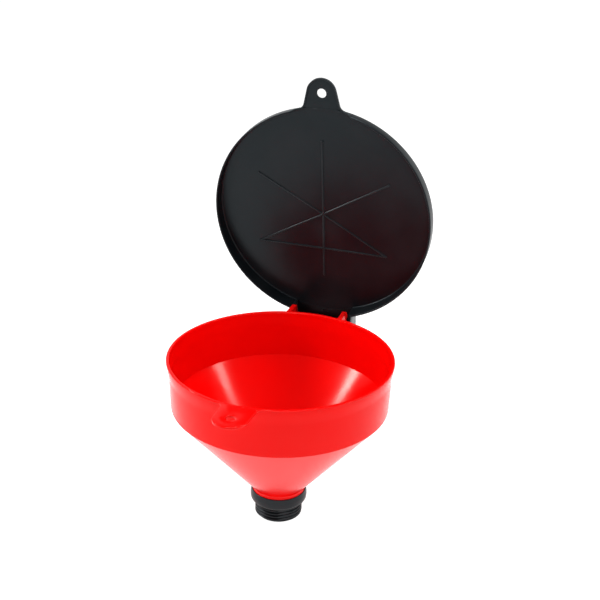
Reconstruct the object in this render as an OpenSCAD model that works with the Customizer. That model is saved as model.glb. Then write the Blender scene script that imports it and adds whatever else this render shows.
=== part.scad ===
// Drum funnel with a hinged lid and a screw-in drum adapter.
// The origin is on the bowl's axis at the underside of the drum gasket. +Z is up,
// the hinge is at +Y and the padlock lug at -Y. The lid stands open at lid_open.

/* [Rim and bowl] */
// Outer radius of the rim
rim_r = 128.5; // [128.3:0.1:128.7]
// Height of the rim above the drum face
rim_z = 185.9; // [185.5:0.1:186.5]
// Height of the rim's outer edge
rim_h = 2.4; // [2.2:0.1:2.8]
// Thickness of the bowl wall
wall_t = 3.2; // [2.8:0.1:3.4]
// Outer radius of the bowl wall under the flare
wall_r = 125.9; // [125.6:0.1:126.2]
// Outer radius at the wall's foot, where the cone begins
foot_r = 124.6; // [124.3:0.1:124.9]
// Depth of the flare below the rim
flare_h = 20; // [16:0.5:22]

/* [Cone and neck] */
// Radius gained for each millimetre of height along the cone
cone_slope = 0.8435; // [0.842:0.0005:0.846]
// Thickness of the cone wall
cone_t = 2.5; // [2.3:0.1:2.7]
// Outer radius of the neck
neck_r = 31.4; // [31.4]
// Height at which the cone's line would meet the neck
cone_z = 18.6; // [18.4:0.1:18.8]
// Radius of the blend between cone and neck
blend_r = 6; // [4:0.5:6]
// Height of the neck's shoulder
shoulder_z = 5.4; // [5.4]
// Outer radius of the spigot
spigot_r = 23.0; // [23.0]
// Bore radius of the spigot
spout_r = 20.4; // [19.6:0.2:20.8]
// Height of the spigot's end
spigot_z = -18.5; // [-19.5:0.5:-17.5]

/* [Padlock lug and tab] */
// Thickness of the lug
lug_t = 3; // [2.6:0.2:3.4]
// Distance from the bowl's axis to the padlock holes
hole_s = 151.8; // [151.4:0.1:152.2]
// Radius of the padlock holes
hole_r = 5.5; // [5.0:0.1:5.8]
// Radius of the lug's tip
lug_tip = 18.6; // [18.2:0.1:19.4]
// Radius of the tab's tip
tab_tip = 18.0; // [17.6:0.1:18.2]
// Radius of the fillets beside the tab and the lug
lobe_fillet = 7; // [6:0.5:8]

/* [Hinge] */
// Distance from the bowl's axis to the hinge rod
hinge_y = 147; // [147]
// Depth of the hinge rod below the rim
hinge_drop = 27.9; // [27.9]
// Radius of the hinge rod
rod_r = 2.5; // [2.5]
// Inner face of each ear
ear_in = 30; // [29.0:0.1:31.0]
// Outer face of each ear
ear_out = 36; // [35.6:0.1:36.1]
// Inner face of each lid arm
arm_in = 36.5; // [36.5]
// Outer face of each lid arm
arm_out = 41; // [40.6:0.1:41.2]
// Radius of the arm's round end
arm_r = 6.5; // [6.0:0.1:6.6]
// Play between the rod and the arm's hole
arm_play = 0.05; // [0.03:0.01:0.08]

/* [Lid] */
// Angle the lid stands open
lid_open = 81; // [81]
// Outer radius of the lid
lid_r = 135.2; // [134.6:0.1:135.4]
// Thickness of the lid's plate and skirt
lid_t = 2.3; // [2.1:0.1:2.3]
// Gap between the rim and the plate when shut
lid_gap = 1.7; // [1.7:0.1:2.0]
// Depth of the skirt at mid-length, below the plate
skirt_h = 15; // [14:0.5:16]
// Loss of skirt depth for each millimetre toward the tab
skirt_fall = 0.045; // [0.035:0.005:0.055]
// Radius of the star of ribs
star_r = 93.5; // [90:0.5:97]
// Height of the ribs and the nubs
rib_h = 1; // [0.8:0.1:1.2]
// Width of the ribs
rib_w = 2; // [1.6:0.1:2.4]

/* [Drum adapter] */
// Radius over the thread's crests
thread_r = 28; // [28]
// Thread pitch
pitch = 4; // [4]
// Turns of thread
turns = 5; // [4:1:5]
// Radius of the sleeve at the thread's root
root_r = 25.7; // [25.5:0.1:25.9]
// Height of the sleeve's end
sleeve_z = -20.2; // [-21.2:0.2:-20.2]
// Outer radius of the collar
collar_r = 33.5; // [33.4:0.1:33.9]
// Height of the collar's top
collar_z = 14.4; // [13.8:0.1:14.8]
// Distance from the axis to the parting flats
flat_d = 26.4; // [26.4:0.1:27.2]

/* [Hidden] */
alpha = atan(cone_slope);
flare_z = rim_z - flare_h;
lip_z = rim_z - rim_h;
blend_z = cone_z - blend_r * tan(alpha / 2);
neck_in = neck_r - cone_t;
cone_in = cone_t / cos(alpha);
foot_z = cone_z + (foot_r - neck_r) / cone_slope;
hinge_z = rim_z - hinge_drop;
heel_y = 8.7;
apron_y = 7;
apron_z = 8;
apron_back = 9.5;
lid_top = lid_gap + lid_t;
skirt_r = lid_r - lid_t;
border_h = 1.4;
border_w = 1.8;
seal_t = 1.4;
gasket_t = 1.6;
gasket_in = thread_r + 0.4;
steps = 8;
full = 400;

function ease(t) = t * t * (3 - 2 * t);
function flare_at(t) = wall_r + (rim_r - 0.5 - wall_r) * ease(t);
function cone_at(r) = cone_z + (r - neck_r) / cone_slope;

flare_pts = [for (i = [steps:-1:0]) [flare_at(i / steps), flare_z + (lip_z - flare_z) * i / steps]];
blend_pts = [for (i = [4:-1:0])
    [neck_r + blend_r - blend_r * cos(alpha * i / 4), blend_z + blend_r * sin(alpha * i / 4)]];
inner_flare = [for (i = [0:steps])
    [flare_at(i / steps) - wall_t, flare_z + (lip_z - flare_z) * i / steps]];
seat_r = foot_r - wall_t;

// Outline of a rounded lobe on a disc: r disc radius, s centre distance, t tip radius,
// b flare angle, f fillet radius. It is drawn pointing to -Y.
function lobe_c(s, t, b) = t + s * sin(b);
function lobe_tau(r, c, f) = sqrt(pow(r + f, 2) - pow(c + f, 2));
function lobe_f(r, s, t, b, f) =
    let (c = lobe_c(s, t, b), q = lobe_tau(r, c, f))
    [(c + f) * cos(b) - q * sin(b), (c + f) * sin(b) + q * cos(b)];
function lobe_side(r, s, t, b, f) =
    let (o = lobe_f(r, s, t, b, f), a0 = atan2(-o[1], -o[0]), a1 = -180 + b)
    concat([for (i = [0:8]) o + f * [cos(a0 + (a1 - a0) * i / 8), sin(a0 + (a1 - a0) * i / 8)]],
           [for (i = [0:15]) [0, s] + t * [cos(b + (90 - b) * i / 16), sin(b + (90 - b) * i / 16)]]);
function lobe_pts(r, s, t, b, f) =
    let (p = lobe_side(r, s, t, b, f), n = len(p))
    concat([[p[0][0], r - 8]], p, [[0, s + t]],
           [for (i = [n - 1:-1:0]) [-p[i][0], p[i][1]]], [[-p[0][0], r - 8]]);

module lobe(r, s, t, b, f, h) {
    mirror([0, 1, 0])
        linear_extrude(height = h)
            polygon(lobe_pts(r, s, t, b, f));
}

// Plate drawn as [y, z] points about the hinge, from x = a to x = b
module side_plate(pts, a, b) {
    translate([a, hinge_y, hinge_z])
        rotate([90, 0, 90])
            linear_extrude(height = b - a)
                polygon(pts);
}

module cross_bore(r, a, b) {
    translate([a, hinge_y, hinge_z])
        rotate([0, 90, 0])
            cylinder(r = r, h = b - a, $fn = 48);
}

// Outside of the bowl, cone, neck and spigot as one solid of revolution
module bowl_solid() {
    rotate_extrude($fn = 144)
        polygon(concat(
            [[0, rim_z], [rim_r - 0.8, rim_z], [rim_r - 0.2, rim_z - 0.3], [rim_r, rim_z - 0.9]],
            [[rim_r, lip_z + 0.5]],
            flare_pts,
            [[foot_r, foot_z]],
            blend_pts,
            [[neck_r, shoulder_z], [spigot_r, shoulder_z], [spigot_r, spigot_z + 1]],
            [[spigot_r - 0.8, spigot_z], [0, spigot_z]]));
}

// Inside of the bowl, cone, neck and spigot
module bowl_void() {
    rotate_extrude($fn = 144)
        polygon(concat(
            [[0, spigot_z - 1], [spout_r, spigot_z - 1], [spout_r, 8],
             [neck_in, cone_at(neck_in + cone_in)]],
            [[seat_r, cone_at(seat_r + cone_in)]],
            inner_flare,
            [[rim_r - 0.5 - wall_t, rim_z - 0.6], [rim_r + 0.1 - wall_t, rim_z]],
            [[rim_r + 0.1 - wall_t, rim_z + 1], [0, rim_z + 1]]));
}

// Padlock lug in the plane of the rim
module lug() {
    translate([0, 0, rim_z - lug_t])
        lobe(rim_r, hole_s, lug_tip, 1.5, lobe_fillet - 1, lug_t);
    translate([0, -hole_s, rim_z - lug_t - 0.6])
        cylinder(r = hole_r + 2.2, h = lug_t, $fn = 64);
}

// One hinge ear, with the heel that stops the open lid
module ear(a, b) {
    side_plate([[-32, hinge_drop - 1], [3.2, hinge_drop - 1], [6.2, hinge_drop - 9], [6.2, -2],
                [heel_y, -5.7], [heel_y + 0.39, -8.17], [heel_y - 0.6, -12.5], [-20, -26], [-32, -28]],
               a, b);
}

module funnel_body() {
    color([0.86, 0.09, 0.06])
        difference() {
            union() {
                bowl_solid();
                lug();
                ear(ear_in, ear_out);
                ear(-ear_out, -ear_in);
            }
            bowl_void();
            translate([0, -hole_s, rim_z - lug_t - 2])
                cylinder(r = hole_r, h = lug_t + 4, $fn = 64);
            cross_bore(rod_r, -ear_out - 1, -ear_in + 1);
            cross_bore(rod_r, ear_in - 1, ear_out + 1);
        }
}

// Plate of the lid when shut, with the tab, the tongue and the inner ribs
module lid_plate() {
    translate([0, 0, rim_z])
        rotate_extrude($fn = 144)
            polygon([[0, lid_gap], [skirt_r - 1.6, lid_gap], [skirt_r - 0.5, lid_gap - 0.4],
                     [skirt_r, lid_gap - border_h], [lid_r, lid_gap - border_h], [lid_r, lid_top - 0.9],
                     [lid_r - 0.3, lid_top - 0.3], [lid_r - 0.9, lid_top], [0, lid_top]]);
    translate([0, 0, rim_z + lid_gap])
        lobe(lid_r, hole_s, tab_tip, 13.3, lobe_fillet + 1, lid_t);
    translate([-arm_out, 110, rim_z + lid_gap])
        cube([2 * arm_out, hinge_y + apron_back - 110, lid_t]);
}

// Raised border round the tab's underside
module tab_border() {
    translate([0, 0, rim_z + lid_gap - border_h])
        difference() {
            lobe(lid_r, hole_s, tab_tip, 13.3, lobe_fillet + 1, border_h + 0.1);
            translate([0, 0, -1])
                lobe(lid_r - 6, hole_s, tab_tip - border_w, 13.3, lobe_fillet + 1, border_h + 3);
            translate([0, 0, -1])
                cylinder(r = skirt_r, h = border_h + 3, $fn = 144);
        }
}

// Rim of the lid: its lower edge runs on a slope, shallow at the tab and deep at the hinge
module skirt() {
    difference() {
        translate([0, 0, rim_z - 30])
            rotate_extrude($fn = 144)
                polygon([[skirt_r + 0.5, 0], [lid_r - 0.5, 0], [lid_r, 2], [lid_r, 32], [skirt_r, 32]]);
        translate([0, 0, rim_z + lid_gap - skirt_h])
            rotate([-atan(skirt_fall), 0, 0])
                translate([-full / 2, -full / 2, -60])
                    cube([full, full, 60]);
        translate([-arm_in, 90, rim_z - 60])
            cube([2 * arm_in, 60, 60 + lid_gap]);
        translate([0, -90, rim_z])
            rotate([90, 0, 0])
                linear_extrude(height = 60)
                    polygon([[-33, lid_gap - border_h], [33, lid_gap - border_h], [37, -4],
                             [39, -30], [-39, -30], [-37, -4]]);
    }
}

// One arm of the hinge box
module arm(a, b) {
    side_plate(concat([[apron_back, hinge_drop + lid_gap + 0.5], [-20, hinge_drop + lid_gap + 0.5],
                       [-20, 8.5]],
                      [for (i = [0:12]) arm_r * [cos(215 + i * 12), sin(215 + i * 12)]],
                      [[arm_r, 3], [apron_back, apron_z]]), a, b);
}

// Rear wall of the hinge box, whose lower end lands on the heels
module apron() {
    side_plate([[apron_y, hinge_drop + lid_gap + 0.5], [apron_y, apron_z], [apron_back, apron_z],
                [apron_back, hinge_drop + lid_gap + 0.5]], -arm_out, arm_out);
}

module rib(a, b) {
    d = b - a;
    translate([a[0], -a[1], rim_z + lid_gap - rib_h])
        rotate([0, 0, atan2(-d[1], d[0])])
            translate([0, -rib_w / 2, 0])
                cube([norm(d), rib_w, rib_h + 0.2]);
}

module nub(x, s, r) {
    translate([x, -s, rim_z + lid_gap - rib_h])
        cylinder(r = r, h = rib_h + 0.2, $fn = 32);
}

// Star of ribs, its two nubs and the chord nearest the hinge
module ribs() {
    for (a = [30:60:330])
        rib([0, 0], (a == 270 ? star_r - 9 : star_r) * [cos(a), sin(a)]);
    rib([-star_r * cos(30), -star_r / 2], [star_r * cos(30), -star_r / 2]);
    nub(0, 0, 3);
    nub(0, star_r, 2.6);
    difference() {
        nub(0, -139, 4.5);
        translate([0, 139, rim_z - 1])
            cylinder(r = 3.1, h = rib_h + lid_gap + 1, $fn = 32);
        translate([-10, 139, rim_z - 1])
            cube([20, 20, lid_gap + 1]);
    }
}

// The whole lid as it lies when shut
module lid_shut() {
    difference() {
        union() {
            lid_plate();
            tab_border();
            skirt();
            ribs();
            apron();
            arm(arm_in, arm_out);
            arm(-arm_out, -arm_in);
        }
        translate([0, -hole_s, rim_z - 5])
            cylinder(r = hole_r, h = 20, $fn = 64);
        cross_bore(rod_r + arm_play, arm_in - 1, arm_out + 1);
        cross_bore(rod_r + arm_play, -arm_out - 1, -arm_in + 1);
    }
}

module lid() {
    color([0.09, 0.09, 0.1])
        translate([0, hinge_y, hinge_z])
            rotate([-lid_open, 0, 0])
                translate([0, -hinge_y, -hinge_z])
                    lid_shut();
}

// Rod on the hinge's axis, with a domed head on the left
module hinge_rod() {
    color([0.7, 0.71, 0.73])
        translate([0, hinge_y, hinge_z])
            rotate([0, 90, 0])
                rotate_extrude($fn = 48)
                    polygon([[0, -arm_out - 2.6], [1.8, -arm_out - 2.4], [3.4, -arm_out - 1.7],
                             [4.2, -arm_out - 0.8], [4.2, -arm_out - 0.3], [rod_r, -arm_out - 0.3],
                             [rod_r, arm_out + 2], [rod_r - 0.5, arm_out + 2.5], [0, arm_out + 2.5]]);
}

// Push-on ring that keeps the rod in place
module rod_retainer() {
    color([0.62, 0.63, 0.65])
        translate([arm_out + 0.4, hinge_y, hinge_z])
            rotate([0, 90, 0])
                rotate_extrude($fn = 48)
                    polygon([[rod_r, 0], [4.4, 0], [5, 0.3], [5, 0.6], [4.4, 0.9], [rod_r, 0.9]]);
}

function thread_z(i) = -1.7 - i * pitch;

// Collar, sleeve and thread that screw the funnel to the drum
module drum_adapter() {
    color([0.11, 0.11, 0.12])
        difference() {
            union() {
                rotate_extrude($fn = 144)
                    polygon([[spigot_r, gasket_t], [collar_r - 0.9, gasket_t],
                             [collar_r - 0.4, gasket_t + 0.6], [collar_r, gasket_t + 3.2],
                             [collar_r, gasket_t + 6.4], [collar_r - 0.3, gasket_t + 9.4],
                             [collar_r - 1, collar_z],
                             [neck_r + 0.1, collar_z], [neck_r + 0.1, shoulder_z - seal_t],
                             [spigot_r, shoulder_z - seal_t]]);
                rotate_extrude($fn = 144)
                    polygon([[spigot_r, sleeve_z], [root_r - 0.6, sleeve_z], [root_r, sleeve_z + 0.6],
                             [root_r, gasket_t + 0.5], [spigot_r, gasket_t + 0.5]]);
                for (i = [0:turns - 1])
                    translate([0, 0, thread_z(i)])
                        rotate_extrude($fn = 144)
                            polygon([[root_r - 0.6, -1.78], [root_r, -1.78], [thread_r, -0.45],
                                     [thread_r, 0.45], [root_r, 1.78], [root_r - 0.6, 1.78]]);
            }
            for (a = [-54, 126])
                rotate([0, 0, a])
                    translate([flat_d, -20, sleeve_z - 1])
                        cube([10, 40, -sleeve_z + 0.9]);
        }
}

// Washer between the neck's shoulder and the collar
module neck_seal() {
    color([0.2, 0.2, 0.21])
        translate([0, 0, shoulder_z - seal_t])
            rotate_extrude($fn = 96)
                polygon([[spigot_r, 0], [neck_r, 0], [neck_r, seal_t], [spigot_r, seal_t]]);
}

// Flat ring that seals against the drum
module drum_gasket() {
    color([0.07, 0.07, 0.07])
        rotate_extrude($fn = 96)
            polygon([[gasket_in, 0], [32, 0], [32, gasket_t], [gasket_in, gasket_t]]);
}

funnel_body();
lid();
hinge_rod();
rod_retainer();
drum_adapter();
neck_seal();
drum_gasket();
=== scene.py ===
"""Drum funnel with a hinged lid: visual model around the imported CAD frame."""

import math

import bmesh
import bpy
from mathutils import Matrix, Vector


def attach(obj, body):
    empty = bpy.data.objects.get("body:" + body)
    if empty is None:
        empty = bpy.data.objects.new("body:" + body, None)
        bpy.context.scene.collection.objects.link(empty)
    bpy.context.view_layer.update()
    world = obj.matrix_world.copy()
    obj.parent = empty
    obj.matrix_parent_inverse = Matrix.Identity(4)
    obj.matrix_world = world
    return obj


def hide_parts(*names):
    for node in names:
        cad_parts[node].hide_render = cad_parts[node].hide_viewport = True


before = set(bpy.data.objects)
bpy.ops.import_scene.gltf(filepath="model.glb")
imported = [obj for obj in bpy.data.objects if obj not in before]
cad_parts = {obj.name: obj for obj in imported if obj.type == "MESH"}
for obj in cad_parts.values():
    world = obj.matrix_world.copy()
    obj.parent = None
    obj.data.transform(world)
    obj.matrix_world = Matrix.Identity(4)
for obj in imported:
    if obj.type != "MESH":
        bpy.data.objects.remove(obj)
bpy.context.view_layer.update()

MM = 0.001

# ---------------------------------------------------------------- sizes, in mm, as in the CAD part
# rim and bowl
RIM_Z = 185.9
RIM_R = 128.5
RIM_H = 2.4
WALL_T = 3.2
WALL_R = 125.9
FOOT_R = 124.6
FLARE_H = 20.0
# cone, neck and spigot
CONE_SLOPE = 0.8435
CONE_T = 2.5
CONE_Z = 18.6
NECK_R = 31.4
BLEND_R = 6.0
SHOULDER_Z = 5.4
SPIGOT_R = 23.0
SPOUT_R = 20.4
SPIGOT_Z = -18.5
THROAT_Z = 8.0
ALPHA = math.degrees(math.atan(CONE_SLOPE))
FOOT_Z = CONE_Z + (FOOT_R - NECK_R) / CONE_SLOPE
# padlock lug and tab
LUG_T = 3.0
HOLE_S = 151.8
HOLE_R = 5.5
HOLE_RING_W = 2.2
HOLE_RING_H = 0.6
LUG_TIP, LUG_FLARE, LUG_FILLET = 18.6, 1.5, 6.0
TAB_TIP, TAB_FLARE, TAB_FILLET = 18.0, 13.3, 8.0
# hinge
HINGE_Y = 147.0
HINGE_DROP = 27.9
HINGE_Z = RIM_Z - HINGE_DROP
EAR_IN, EAR_OUT = 30.0, 36.0
HEEL_Y = 8.7
ARM_IN, ARM_OUT = 36.5, 41.0
ARM_R = 6.5
ARM_PLAY = 0.05
ROD_R = 2.5
APRON_Y, APRON_BACK, APRON_Z = 7.0, 9.5, 8.0
# lid
LID_OPEN = math.radians(81)
LID_R = 135.2
LID_T = 2.3
LID_GAP = 1.7
SKIRT_H = 15.0
SKIRT_FALL = 0.045
BORDER_H = 1.4
STAR_R = 93.5
NUB_Y = 139.0
# drum adapter and gasket
THREAD_R = 28.0
ROOT_R = 25.7
PITCH = 4.0
SLEEVE_Z = -20.2
COLLAR_R = 33.5
COLLAR_Z = 14.4
FLAT_D = 26.4
SEAL_T = 1.4
GASKET_T = 1.6
GASKET_IN = THREAD_R + 0.4
GASKET_R = 32.0

# ---------------------------------------------------------------- sizes of the visual model only
EMBED = 1.7  # how far the lug and the ears run into the bowl's wall
LUG_SINK, TAB_SINK, BOX_SINK = 0.05, 0.02, 0.03  # set-in that keeps joined faces apart
SKIRT_NONE = 0.15  # edge left on the lid where it has no skirt
SKIRT_STOP = ARM_IN + 2.2  # half width of the gap in the skirt at the hinge
BORDER_START, BORDER_RUN = 19.0, 3.0  # half width of the tab's gap, where the low border rises
SKIRT_START, SKIRT_RUN = 31.0, 7.0  # half width at which the skirt begins beside the tab
LID_FILLET, LID_LIP, LID_EDGE = 1.3, 0.9, 1.2  # roundings of the lid's inner corner, lip and top
BOX_TOP = HINGE_DROP + LID_GAP + 0.6  # height of the hinge box's sides above the rod
TOOTH_FOOT, TOOTH_CREST = 1.78, 0.45  # half widths of the thread's tooth
THREAD_TOP = 0.4  # height at which the thread begins to rise
FLAT_ANGLES = (-54, 126)  # directions of the two parting flats
BASE_STEPS = 16  # steps along the hidden edge of the lug and the tab


# ---------------------------------------------------------------- mesh helpers
def finish_mesh(name, bm, mat, sharp=38.0):
    """Object from a bmesh in mm: smooth faces, with edges sharper than the angle kept crisp."""
    bmesh.ops.recalc_face_normals(bm, faces=bm.faces)
    bm.transform(Matrix.Scale(MM, 4))
    limit = math.radians(sharp)
    for f in bm.faces:
        f.smooth = True
    for e in bm.edges:
        if len(e.link_faces) == 2 and e.calc_face_angle(0.0) > limit:
            e.smooth = False
    return link_mesh(name, bm, mat)


def link_mesh(name, bm, mat):
    """Object from a bmesh in metres, in the scene and with its material."""
    mesh = bpy.data.meshes.new(name)
    bm.to_mesh(mesh)
    bm.free()
    mesh.materials.append(mat)
    obj = bpy.data.objects.new(name, mesh)
    bpy.context.scene.collection.objects.link(obj)
    return obj


def arc(x, y, r, start, end, steps):
    """Points on an arc round (x, y), from one angle to another in degrees, both ends included."""
    angles = [math.radians(start + (end - start) * i / steps) for i in range(steps + 1)]
    return [(x + r * math.cos(a), y + r * math.sin(a)) for a in angles]


def circle(r, x=0.0, y=0.0, n=48):
    return arc(x, y, r, 0, 360, n)[:-1]


def plain(points):
    """Corners for rounded() that stay as they are."""
    return [(x, y, 0) for x, y in points]


def rounded(corners, steps=5):
    """Closed outline from (x, y, radius) corners, each rounded with its own radius."""
    out = []
    n = len(corners)
    for i, (x, y, r) in enumerate(corners):
        if r <= 0:
            out.append((x, y))
            continue
        p = Vector((x, y))
        a = Vector(corners[i - 1][:2]) - p
        b = Vector(corners[(i + 1) % n][:2]) - p
        half = a.angle(b) / 2
        cut = min(r / math.tan(half), a.length * 0.48, b.length * 0.48)
        r = cut * math.tan(half)
        centre = p + (a.normalized() + b.normalized()).normalized() * (r / math.sin(half))
        s = p + a.normalized() * cut - centre
        t = p + b.normalized() * cut - centre
        start = math.degrees(math.atan2(s.y, s.x))
        sweep = math.degrees(math.atan2(s.x * t.y - s.y * t.x, s.dot(t)))
        out += arc(centre.x, centre.y, r, start, start + sweep, steps)
    return out


def skin_rings(bm, rings, closed=True):
    """Joins rings of equal length with quads; an open row of rings gets end faces."""
    n = len(rings[0])
    last = len(rings) if closed else len(rings) - 1
    for i in range(last):
        a, b = rings[i], rings[(i + 1) % len(rings)]
        for j in range(n):
            k = (j + 1) % n
            bm.faces.new((a[j], a[k], b[k], b[j]))
    if not closed:
        bm.faces.new(rings[0])
        bm.faces.new(list(reversed(rings[-1])))


def revolve(bm, outline, n=256):
    """Closed ring solid from an outline of (r, z)."""
    rings = [[bm.verts.new((r * c, r * s, z)) for r, z in outline] for c, s in circle(1.0, n=n)]
    skin_rings(bm, rings)


def absorb(bm, part):
    """Adds another bmesh's geometry to bm."""
    tmp = bpy.data.meshes.new("tmp")
    part.to_mesh(tmp)
    part.free()
    bm.from_mesh(tmp)
    bpy.data.meshes.remove(tmp)


def slab(bm, outline, z0, z1, edge=0.4, holes=(), place=Matrix.Identity(4), steps=2):
    """Flat plate with rounded edges: outline and holes are lists of (x, y)."""
    part = bmesh.new()
    loops = []
    for pts in [outline, *holes]:
        vs = [part.verts.new((x, y, z0)) for x, y in pts]
        loops += [part.edges.new((vs[i], vs[(i + 1) % len(vs)])) for i in range(len(vs))]
    bmesh.ops.triangle_fill(part, use_beauty=True, use_dissolve=True, edges=loops)
    up = bmesh.ops.extrude_face_region(part, geom=list(part.faces))
    moved = [v for v in up["geom"] if isinstance(v, bmesh.types.BMVert)]
    bmesh.ops.translate(part, vec=(0, 0, z1 - z0), verts=moved)
    bmesh.ops.recalc_face_normals(part, faces=part.faces)
    rim = [e for e in part.edges if len(e.link_faces) == 2
           and e.calc_face_angle(0.0) > 1.2
           and abs(e.verts[0].co.z - e.verts[1].co.z) < 1e-6]
    bmesh.ops.bevel(part, geom=rim, offset=edge, segments=steps, profile=0.5,
                    affect="EDGES", clamp_overlap=True)
    part.transform(place)
    bmesh.ops.triangulate(part, faces=[f for f in part.faces if len(f.verts) > 4])
    absorb(bm, part)


def lobe(disc, s, tip, flare, fillet, base):
    """Outline of a rounded lobe pointing to -Y, closed along an arc of radius base."""
    b = math.radians(flare)
    c = tip + s * math.sin(b)
    q = math.sqrt((disc + fillet) ** 2 - (c + fillet) ** 2)
    fx = (c + fillet) * math.cos(b) - q * math.sin(b)
    fy = (c + fillet) * math.sin(b) + q * math.cos(b)
    side = arc(fx, fy, fillet, math.degrees(math.atan2(-fy, -fx)), flare - 180, 10)
    side += arc(0, s, tip, flare, 90, 20)[1:-1]
    half = math.degrees(math.asin(side[0][0] / base))
    ring = side + [(0, s + tip)] + [(-x, y) for x, y in reversed(side)]
    ring += arc(0, 0, base, 90 + half, 90 - half, BASE_STEPS)
    return [(x, -y) for x, y in ring]


def side_place(x):
    """Turns a slab drawn as (y, z) about the hinge so that it starts at this x."""
    return Matrix.Translation((x, HINGE_Y, HINGE_Z)) @ Matrix(((0, 0, 1, 0), (1, 0, 0, 0),
                                                              (0, 1, 0, 0), (0, 0, 0, 1)))


def smooth(t):
    t = min(max(t, 0.0), 1.0)
    return t * t * (3 - 2 * t)


# ---------------------------------------------------------------- materials
CLOUD_SCALE = 18.0
SCUFF_SCALE = 60.0
SCUFF_STRETCH, SCUFF_TURN = (1.0, 14.0, 1.0), (0.3, 0.5, 0.8)
BUMP_DEPTH = 0.0002  # metres


def plastic(name, base, worn, rough, grain, bump, spec=0.5, tone=(1.0, 1.0, 1.0)):
    """Moulded plastic: fine grain, uneven gloss, faint scuffs and paler worn edges."""
    m = bpy.data.materials.new(name)
    m.use_nodes = True
    nodes, links = m.node_tree.nodes, m.node_tree.links
    shader = nodes["Principled BSDF"]
    coord = nodes.new("ShaderNodeTexCoord")

    def noise(scale, detail, roughness=0.5, stretch=None):
        n = nodes.new("ShaderNodeTexNoise")
        n.inputs["Scale"].default_value = scale
        n.inputs["Detail"].default_value = detail
        n.inputs["Roughness"].default_value = roughness
        source = coord.outputs["Object"]
        if stretch:
            mapping = nodes.new("ShaderNodeMapping")
            mapping.inputs["Scale"].default_value = stretch
            mapping.inputs["Rotation"].default_value = SCUFF_TURN
            links.new(source, mapping.inputs["Vector"])
            source = mapping.outputs["Vector"]
        links.new(source, n.inputs["Vector"])
        return n.outputs["Fac"]

    def ranged(value, lo, hi, out_lo, out_hi):
        r = nodes.new("ShaderNodeMapRange")
        r.inputs["From Min"].default_value = lo
        r.inputs["From Max"].default_value = hi
        r.inputs["To Min"].default_value = out_lo
        r.inputs["To Max"].default_value = out_hi
        links.new(value, r.inputs["Value"])
        return r.outputs["Result"]

    def combine(kind, a, b):
        n = nodes.new("ShaderNodeMath")
        n.operation = kind
        for i, v in enumerate((a, b)):
            if isinstance(v, float):
                n.inputs[i].default_value = v
            else:
                links.new(v, n.inputs[i])
        return n.outputs["Value"]

    clouds = noise(CLOUD_SCALE, 3.0)
    fine = noise(grain, 2.0, 0.6)
    scuffs = ranged(noise(SCUFF_SCALE, 4.0, 0.7, SCUFF_STRETCH), 0.62, 0.75, 0.0, 1.0)
    geometry = nodes.new("ShaderNodeNewGeometry")
    edge = ranged(geometry.outputs["Pointiness"], 0.54, 0.62, 0.0, 0.35)
    wear = combine("MULTIPLY", edge, ranged(clouds, 0.4, 0.7, 0.3, 1.0))

    tint = nodes.new("ShaderNodeMix")
    tint.data_type = "RGBA"
    tint.inputs["A"].default_value = (*base, 1.0)
    tint.inputs["B"].default_value = (*worn, 1.0)
    amount = combine("ADD", wear, ranged(clouds, 0.35, 0.75, 0.0, 0.04))
    links.new(amount, tint.inputs["Factor"])
    links.new(tint.outputs["Result"], shader.inputs["Base Color"])

    gloss = combine("ADD", ranged(clouds, 0.3, 0.7, rough - 0.04, rough + 0.05),
                    combine("MULTIPLY", scuffs, 0.08))
    links.new(gloss, shader.inputs["Roughness"])

    bumps = nodes.new("ShaderNodeBump")
    bumps.inputs["Strength"].default_value = bump
    bumps.inputs["Distance"].default_value = BUMP_DEPTH
    height = combine("ADD", fine, combine("MULTIPLY", scuffs, -0.25))
    links.new(height, bumps.inputs["Height"])
    links.new(bumps.outputs["Normal"], shader.inputs["Normal"])

    shader.inputs["Specular IOR Level"].default_value = spec
    shader.inputs["Specular Tint"].default_value = (*tone, 1.0)
    return m


def steel(name):
    """Drawn steel: the plastic's grain and gloss on bare metal."""
    m = plastic(name, (0.55, 0.56, 0.58), (0.72, 0.72, 0.73), 0.3, 900.0, 0.3)
    m.node_tree.nodes["Principled BSDF"].inputs["Metallic"].default_value = 1.0
    return m


RED = plastic("red_polyethylene", (0.77, 0.0008, 0.0006), (0.86, 0.02, 0.016),
              rough=0.17, grain=1400.0, bump=0.05, spec=0.13, tone=(1.0, 0.93, 0.84))
BLACK = plastic("black_polyethylene", (0.0028, 0.0042, 0.0055), (0.10, 0.105, 0.11),
                rough=0.32, grain=1600.0, bump=0.15, spec=0.22, tone=(0.80, 0.94, 1.0))
ADAPTER = plastic("black_thread_plastic", (0.005, 0.0058, 0.007), (0.035, 0.035, 0.037),
                  rough=0.32, grain=1400.0, bump=0.2, spec=0.28, tone=(0.85, 0.95, 1.0))
RUBBER = plastic("seal_rubber", (0.012, 0.012, 0.012), (0.03, 0.03, 0.03),
                 rough=0.7, grain=2200.0, bump=0.5)
STEEL = steel("drawn_steel")


# ---------------------------------------------------------------- funnel body
def wall_r(z):
    return FOOT_R + (WALL_R - FOOT_R) * (z - FOOT_Z) / (RIM_Z - FLARE_H - FOOT_Z)


def flare(t):
    """Outer radius and height along the flare, t from 0 at its foot to 1 under the rim."""
    return (WALL_R + (RIM_R - 0.5 - WALL_R) * smooth(t),
            RIM_Z - FLARE_H + (FLARE_H - RIM_H) * t)


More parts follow.
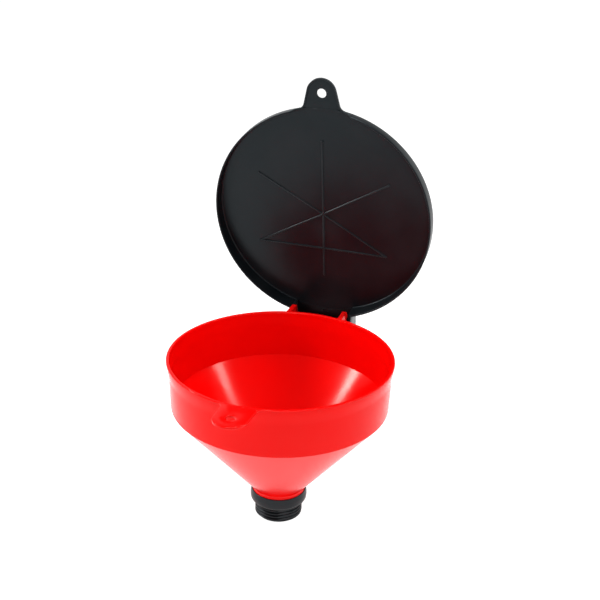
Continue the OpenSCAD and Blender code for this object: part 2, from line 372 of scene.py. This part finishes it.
def bowl_outline():
    flare_pts = [flare(i / 14) for i in range(15)]
    blend_x = NECK_R + BLEND_R
    blend_z = CONE_Z - BLEND_R * math.tan(math.radians(ALPHA / 2))
    seat = FOOT_R - WALL_T
    seat_z = CONE_Z + (seat + CONE_T / math.cos(math.radians(ALPHA)) - NECK_R) / CONE_SLOPE
    pts = [(RIM_R + 0.1 - WALL_T, RIM_Z, 0.5), (RIM_R, RIM_Z, 0.8), (RIM_R, RIM_Z - RIM_H, 0.5)]
    pts += plain(reversed(flare_pts))
    pts += [(FOOT_R, FOOT_Z, 1.6)]
    pts += plain(arc(blend_x, blend_z, BLEND_R, 180 - ALPHA, 180, 10))
    pts += [(NECK_R, SHOULDER_Z, 0.3), (SPIGOT_R, SHOULDER_Z, 0.2), (SPIGOT_R, SPIGOT_Z, 0.8),
            (SPOUT_R, SPIGOT_Z, 0.6), (SPOUT_R, THROAT_Z, 2.0)]
    pts += plain(arc(blend_x, blend_z, BLEND_R + CONE_T, 180 - ALPHA * 0.4, 180 - ALPHA, 6))
    pts += [(seat, seat_z, 0.9)]
    pts += plain([(r - WALL_T, z) for r, z in flare_pts])
    return rounded(pts)


def ear_outline(x):
    """(y, z) about the hinge; the front edge runs inside the bowl's wall."""
    front = []
    for drop in (1.0, 3.5, 6.0, 9.0, 12.0, 16.0, 20.0, 30.0, 44.0, 54.6):
        t = (FLARE_H - drop) / (FLARE_H - RIM_H)
        r = flare(min(t, 1.0))[0] if t > 0 else wall_r(RIM_Z - drop)
        front.append((math.sqrt((r - EMBED) ** 2 - x * x) - HINGE_Y, HINGE_DROP - drop, 0))
    back = [(-20, -25.8, 1.0), (HEEL_Y - 0.6, -12.5, 2.0), (HEEL_Y + 0.39, -8.17, 0.8),
            (HEEL_Y, -5.7, 0.8), (6.2, -2, 1.5), (6.2, HINGE_DROP - 9, 3),
            (3.2, HINGE_DROP - 1, 1.6)]
    return rounded(front + back, 4)


def make_body():
    bm = bmesh.new()
    revolve(bm, bowl_outline())
    slab(bm, lobe(RIM_R, HOLE_S, LUG_TIP, LUG_FLARE, LUG_FILLET, RIM_R - EMBED),
         RIM_Z - LUG_T, RIM_Z - LUG_SINK, 0.7, [circle(HOLE_R, 0, -HOLE_S)], steps=3)
    # raised ring under the lug's hole
    low, high = -LUG_T - HOLE_RING_H, -HOLE_RING_H
    ring = bmesh.new()
    revolve(ring, rounded([(HOLE_R, low, 0.3), (HOLE_R + HOLE_RING_W, low, 0.3),
                           (HOLE_R + HOLE_RING_W, high, 0), (HOLE_R, high, 0)], 3), 64)
    ring.transform(Matrix.Translation((0, -HOLE_S, RIM_Z)))
    absorb(bm, ring)
    for x in (EAR_IN, -EAR_OUT):
        slab(bm, ear_outline((EAR_IN + EAR_OUT) / 2), 0, EAR_OUT - EAR_IN, 0.5,
             [circle(ROD_R, n=32)], side_place(x))
    obj = finish_mesh("funnel_moulding", bm, RED)
    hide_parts("funnel_body")
    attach(obj, "funnel")


# ---------------------------------------------------------------- lid, drawn shut and then opened
def skirt_depth(x, y):
    """Depth of the skirt below the plate's inner face at this place on the lid's edge."""
    if y > 0 and abs(x) < SKIRT_STOP:
        return SKIRT_NONE
    deep = SKIRT_H + SKIRT_FALL * y
    if y >= 0:
        return deep
    border = (BORDER_H - SKIRT_NONE) * smooth((abs(x) - BORDER_START) / BORDER_RUN)
    return SKIRT_NONE + border + (deep - BORDER_H) * smooth((abs(x) - SKIRT_START) / SKIRT_RUN)


def lid_profile(h):
    """(r, z) from the inner face over the lip to the top face, for a skirt of depth h."""
    inner = LID_R - LID_T
    low, top = LID_GAP - h, LID_GAP + LID_T
    fillet = min(LID_FILLET, h * 0.5)
    lip = min(LID_LIP, h * 0.35)
    return (arc(inner - fillet, LID_GAP - fillet, fillet, 90, 0, 5)
            + arc(inner + lip, low + lip, lip, 180, 270, 4)
            + arc(LID_R - lip, low + lip, lip, 270, 360, 4)
            + arc(LID_R - LID_EDGE, top - LID_EDGE, LID_EDGE, 0, 90, 5))


def lid_dish(bm):
    """Plate and skirt in one skin, with extra sections where the skirt stops at the arms."""
    n = 300
    angles = [2 * math.pi * (i + 0.5) / n for i in range(n)]
    for x in (ARM_IN + 1.9, ARM_IN + 2.5):
        a = math.acos(x / (LID_R - 1))
        angles += [a, math.pi - a]
    angles.sort()
    flat = [20.0, 45.0, 70.0, 95.0, 112.0, 122.0]
    rings = []
    for a in angles:
        c, s = math.cos(a), math.sin(a)
        prof = [(r, LID_GAP) for r in flat] + lid_profile(skirt_depth(LID_R * c, LID_R * s))
        prof += [(r, LID_GAP + LID_T) for r in reversed(flat)]
        rings.append([bm.verts.new((r * c, r * s, RIM_Z + z)) for r, z in prof])
    pairs = list(zip(rings, rings[1:] + rings[:1]))
    for a, b in pairs:
        for j in range(len(a) - 1):
            bm.faces.new((a[j], a[j + 1], b[j + 1], b[j]))
    for k, z in ((0, LID_GAP), (-1, LID_GAP + LID_T)):
        mid = bm.verts.new((0, 0, RIM_Z + z))
        for a, b in pairs:
            bm.faces.new((a[k], b[k], mid))


def rib(bm, a, b, width=2.6, high=1.3):
    """Low rib between two points (x, s) on the inner face, with a rounded crest and ends."""
    d = Vector(b) - Vector(a)
    n = d.normalized()
    side = Vector((-n.y, n.x))
    stations = [(-0.5 * width, 0.35), (-0.2 * width, 0.8), (0.3 * width, 1.0)]
    stations += [(d.length - t, k) for t, k in reversed(stations)]
    cross = [(-0.5, -0.4), (-0.46, 0.25), (-0.3, 0.72), (-0.1, 1.0)]
    cross += [(-u, v) for u, v in reversed(cross)]
    rings = []
    for t, k in stations:
        ring = []
        for u, v in cross:
            p = Vector(a) + n * t + side * (u * width * (0.6 + 0.4 * k))
            drop = v * high * (k if v > 0 else 1)
            ring.append(bm.verts.new((p.x, -p.y, RIM_Z + LID_GAP - drop)))
        rings.append(ring)
    skin_rings(bm, rings, closed=False)


def dome(bm, x, s, r, high, base):
    """Low round nub on a face at height base, standing down from it."""
    prof = [(r, 0.3), (r, -high * 0.3), (r * 0.85, -high * 0.75), (r * 0.5, -high * 0.97)]
    skin_rings(bm, [[bm.verts.new((px, py, base + z)) for px, py in circle(q, x, -s, 28)]
                    for q, z in prof], closed=False)


def tab_border(bm, plate, low):
    """Raised border along the tab's edge, on the inner face."""
    inner = lobe(LID_R - 1.4, HOLE_S, TAB_TIP - 1.9, TAB_FLARE, TAB_FILLET + 0.6, LID_R - 2.6)
    rings = []
    for outer_pt, inner_pt in list(zip(plate, inner))[:-BASE_STEPS - 1]:
        o, i = Vector(outer_pt), Vector(inner_pt)
        row = [(o, 0.5), (o, -0.9), (o.lerp(i, 0.25), -1.35), (o.lerp(i, 0.7), -1.35),
               (o.lerp(i, 0.95), -0.9), (i, 0.4)]
        rings.append([bm.verts.new((*p, low + z)) for p, z in row])
    skin_rings(bm, rings, closed=False)


def hinge_box(bm, low):
    """Tongue of the plate, two arms and the rear wall between them."""
    back = HINGE_Y + APRON_BACK
    slab(bm, [(-ARM_OUT, 122), (ARM_OUT, 122), (ARM_OUT, back), (-ARM_OUT, back)],
         low + BOX_SINK, low + LID_T - BOX_SINK, 0.6, steps=3)
    arm = rounded([(APRON_BACK, BOX_TOP, 0.4), (-20, BOX_TOP, 0.4), (-20, 8.5, 1.5)]
                  + plain(arc(0, 0, ARM_R, 215, 355, 14))
                  + [(ARM_R, 3, 0), (APRON_BACK, APRON_Z, 1.0)], 4)
    for x in (ARM_IN, -ARM_OUT):
        slab(bm, arm, 0, ARM_OUT - ARM_IN, 0.5, [circle(ROD_R + ARM_PLAY, n=32)], side_place(x))
    wall = rounded([(APRON_Y, APRON_Z, 0.3), (APRON_BACK, APRON_Z, 0.3),
                    (APRON_BACK, BOX_TOP, 0.3), (APRON_Y, BOX_TOP, 0.3)], 2)
    slab(bm, wall, 0.2, 2 * ARM_OUT - 0.2, 0.3, place=side_place(-ARM_OUT))


def star(bm, low):
    """Star of ribs, a little uneven as the moulding has warped, with its chord and nubs."""
    ends = ((81.0, 46.8), (0, STAR_R - 1), (-81.0, 46.8),
            (-82.5, -45.5), (0, 9 - STAR_R), (79.0, -48.0))
    for end in ends:
        rib(bm, (0, 0), end)
    rib(bm, ends[3], ends[5])
    dome(bm, 0, 0, 2.4, 1.3, low)
    dome(bm, 0, STAR_R, 2.0, 1.3, low)
    dome(bm, *ends[0], 1.8, 1.1, low)


def half_ring(bm, low):
    """Half ring on the tongue, open toward the hinge."""
    cross = ((3.2, 0.3), (3.4, -0.5), (3.9, -0.7), (4.4, -0.5), (4.6, 0.3))
    arcs = [arc(0, NUB_Y, r, 180, 360, 16) for r, _ in cross]
    skin_rings(bm, [[bm.verts.new((*pts[i], low + z)) for pts, (_, z) in zip(arcs, cross)]
                    for i in range(17)], closed=False)


def make_lid():
    bm = bmesh.new()
    low = RIM_Z + LID_GAP
    lid_dish(bm)
    plate = lobe(LID_R, HOLE_S, TAB_TIP, TAB_FLARE, TAB_FILLET, LID_R - 5)
    slab(bm, plate, low + TAB_SINK, low + LID_T - TAB_SINK, 0.6, [circle(HOLE_R, 0, -HOLE_S)],
         steps=3)
    tab_border(bm, plate, low)
    hinge_box(bm, low)
    star(bm, low)
    half_ring(bm, low)
    bm.transform(Matrix.Translation((0, HINGE_Y, HINGE_Z)) @ Matrix.Rotation(-LID_OPEN, 4, "X")
                 @ Matrix.Translation((0, -HINGE_Y, -HINGE_Z)))
    obj = finish_mesh("lid_moulding", bm, BLACK, 42.0)
    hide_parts("lid")
    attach(obj, "lid")


# ---------------------------------------------------------------- drum adapter with a real helix
def tooth(z):
    """Share of the thread's depth at height z within one pitch."""
    d = PITCH / 2 - abs((z / PITCH) % 1.0 - 0.5) * PITCH
    return min(max((TOOTH_FOOT - d) / (TOOTH_FOOT - TOOTH_CREST), 0.0), 1.0)


def thread_r(a, z):
    """Outer radius of the sleeve at this angle and height, cut back by the parting flats."""
    fade = smooth((THREAD_TOP - z) / 1.4) * smooth((z - SLEEVE_Z - 0.4) / 1.2)
    r = ROOT_R + (THREAD_R - ROOT_R) * tooth(z - 0.5 - PITCH * a / (2 * math.pi)) * fade
    for flat in FLAT_ANGLES:
        d = math.cos(a - math.radians(flat))
        if d > 0.5 and r > ROOT_R:
            r = min(r, FLAT_D / d)
    return r


def make_adapter():
    bm = bmesh.new()
    seat = SHOULDER_Z - SEAL_T
    collar = [(SPIGOT_R, GASKET_T, 0.2), (COLLAR_R - 0.9, GASKET_T, 0.4),
              (COLLAR_R - 0.3, GASKET_T + 0.8, 0.6), (COLLAR_R, GASKET_T + 3.2, 3.0),
              (COLLAR_R, GASKET_T + 6.4, 3.0), (COLLAR_R - 1.0, COLLAR_Z, 0.5),
              (NECK_R + 0.1, COLLAR_Z, 0.2), (NECK_R + 0.1, seat, 0.2), (SPIGOT_R, seat, 0.2)]
    revolve(bm, rounded(collar), 192)
    n, rows = 240, 150
    z_top, z_low = GASKET_T + 0.4, SLEEVE_Z + 0.6
    heights = [z_top + (z_low - z_top) * j / rows for j in range(rows + 1)]
    end = [(ROOT_R - 0.2, SLEEVE_Z + 0.2), (ROOT_R - 0.7, SLEEVE_Z), (SPIGOT_R + 0.3, SLEEVE_Z),
           (SPIGOT_R, SLEEVE_Z + 0.3), (SPIGOT_R, z_top)]
    rings = []
    for i in range(n):
        a = 2 * math.pi * i / n
        c, s = math.cos(a), math.sin(a)
        ring = [(thread_r(a, z), z) for z in heights] + end
        rings.append([bm.verts.new((r * c, r * s, z)) for r, z in ring])
    skin_rings(bm, rings)
    obj = finish_mesh("adapter_moulding", bm, ADAPTER, 50.0)
    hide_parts("drum_adapter")
    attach(obj, "funnel")


def make_gasket():
    bm = bmesh.new()
    revolve(bm, rounded([(GASKET_IN, 0, 0.4), (GASKET_R, 0, 0.5), (GASKET_R, GASKET_T, 0.2),
                         (GASKET_IN, GASKET_T, 0.2)], 4), 160)
    obj = finish_mesh("gasket_ring", bm, RUBBER)
    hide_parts("drum_gasket")
    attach(obj, "funnel")


make_body()
make_lid()
make_adapter()
make_gasket()
for node, mat in (("hinge_rod", STEEL), ("rod_retainer", STEEL), ("neck_seal", RUBBER)):
    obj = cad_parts[node]
    obj.data.materials.clear()
    obj.data.materials.append(mat)


# ---------------------------------------------------------------- camera, floor and light
VIEW_AZ, VIEW_EL, VIEW_ROLL = 0.3055, 0.3901, 0.0237  # radians
VIEW_DIST = 1.0776  # metres from the point looked at
AIM_RIGHT, AIM_UP = 0.02012, 0.06297  # that point's offset from the rim's centre, in metres
LENS = 57.40
SENSOR = 36.0
FLOOR_HALF = 14.0
LIGHT_CENTRE = (0, 0, 0.12)
# name, direction from the bowl, distance, width and height in metres, watts
SOFTBOXES = (
    ("softbox_left", (-0.81, -0.12, 0.57), 1.5, (0.2, 0.3), 12.5),
    ("softbox_right", (0.735, 0.18, 0.65), 1.5, (0.2, 0.3), 5.5),
    ("softbox_top", (0.0, 0.1, 1.0), 1.6, (0.9, 0.9), 27),
    ("softbox_front", (0.15, -1.0, 0.12), 2.0, (1.4, 0.5), 3),
)


def camera():
    """The photograph's view, with its slight roll."""
    right = Vector((math.cos(VIEW_AZ), math.sin(VIEW_AZ), 0))
    back = Vector((math.sin(VIEW_AZ) * math.cos(VIEW_EL), -math.cos(VIEW_AZ) * math.cos(VIEW_EL),
                   math.sin(VIEW_EL)))
    up = back.cross(right)
    target = Vector((0, 0, RIM_Z * MM)) + right * AIM_RIGHT + up * AIM_UP
    data = bpy.data.cameras.new("camera")
    data.lens = LENS
    data.sensor_width = SENSOR
    obj = bpy.data.objects.new("camera", data)
    bpy.context.scene.collection.objects.link(obj)
    basis = Matrix((right, up, back)).transposed().to_4x4()
    obj.matrix_world = (Matrix.Translation(target + back * VIEW_DIST) @ basis
                        @ Matrix.Rotation(VIEW_ROLL, 4, "Z"))
    bpy.context.scene.camera = obj


def floor():
    """Plain white sweep at the adapter's foot, lit a little by itself."""
    m = bpy.data.materials.new("floor_white")
    m.use_nodes = True
    sockets = m.node_tree.nodes["Principled BSDF"].inputs
    sockets["Base Color"].default_value = (0.4, 0.4, 0.4, 1)
    sockets["Roughness"].default_value = 0.8
    sockets["Specular IOR Level"].default_value = 0.1
    sockets["Emission Color"].default_value = (1, 1, 1, 1)
    sockets["Emission Strength"].default_value = 0.9
    bm = bmesh.new()
    bm.faces.new([bm.verts.new((x * FLOOR_HALF, y * FLOOR_HALF, SLEEVE_Z * MM))
                  for x, y in ((-1, -1), (1, -1), (1, 1), (-1, 1))])
    link_mesh("floor", bm, m)


def softbox(name, toward, away, size, watts):
    """Area light seen from the bowl in this direction, with its height upright."""
    z = Vector(toward).normalized()
    vertical = Vector((0, 0, 1))
    y = (vertical - z * z.dot(vertical)).normalized()
    data = bpy.data.lights.new(name, "AREA")
    data.shape = "RECTANGLE"
    data.size, data.size_y = size
    data.energy = watts
    obj = bpy.data.objects.new(name, data)
    turn = Matrix((y.cross(z), y, z)).transposed().to_4x4()
    obj.matrix_world = Matrix.Translation(Vector(LIGHT_CENTRE) + z * away) @ turn
    bpy.context.scene.collection.objects.link(obj)


def studio():
    """World light: pale round the horizon and dark overhead."""
    world = bpy.data.worlds.new("studio")
    world.use_nodes = True
    nodes, links = world.node_tree.nodes, world.node_tree.links
    coord = nodes.new("ShaderNodeTexCoord")
    split = nodes.new("ShaderNodeSeparateXYZ")
    fall = nodes.new("ShaderNodeMapRange")
    fall.interpolation_type = "SMOOTHSTEP"
    for key, value in (("From Min", 0.2), ("From Max", 0.85), ("To Min", 1.0), ("To Max", 0.08)):
        fall.inputs[key].default_value = value
    links.new(coord.outputs["Generated"], split.inputs["Vector"])
    links.new(split.outputs["Z"], fall.inputs["Value"])
    links.new(fall.outputs["Result"], nodes["Background"].inputs["Strength"])
    nodes["Background"].inputs["Color"].default_value = (1, 1, 1, 1)
    bpy.context.scene.world = world


camera()
floor()
for box in SOFTBOXES:
    softbox(*box)
studio()
bpy.context.scene.view_settings.view_transform = "Standard"
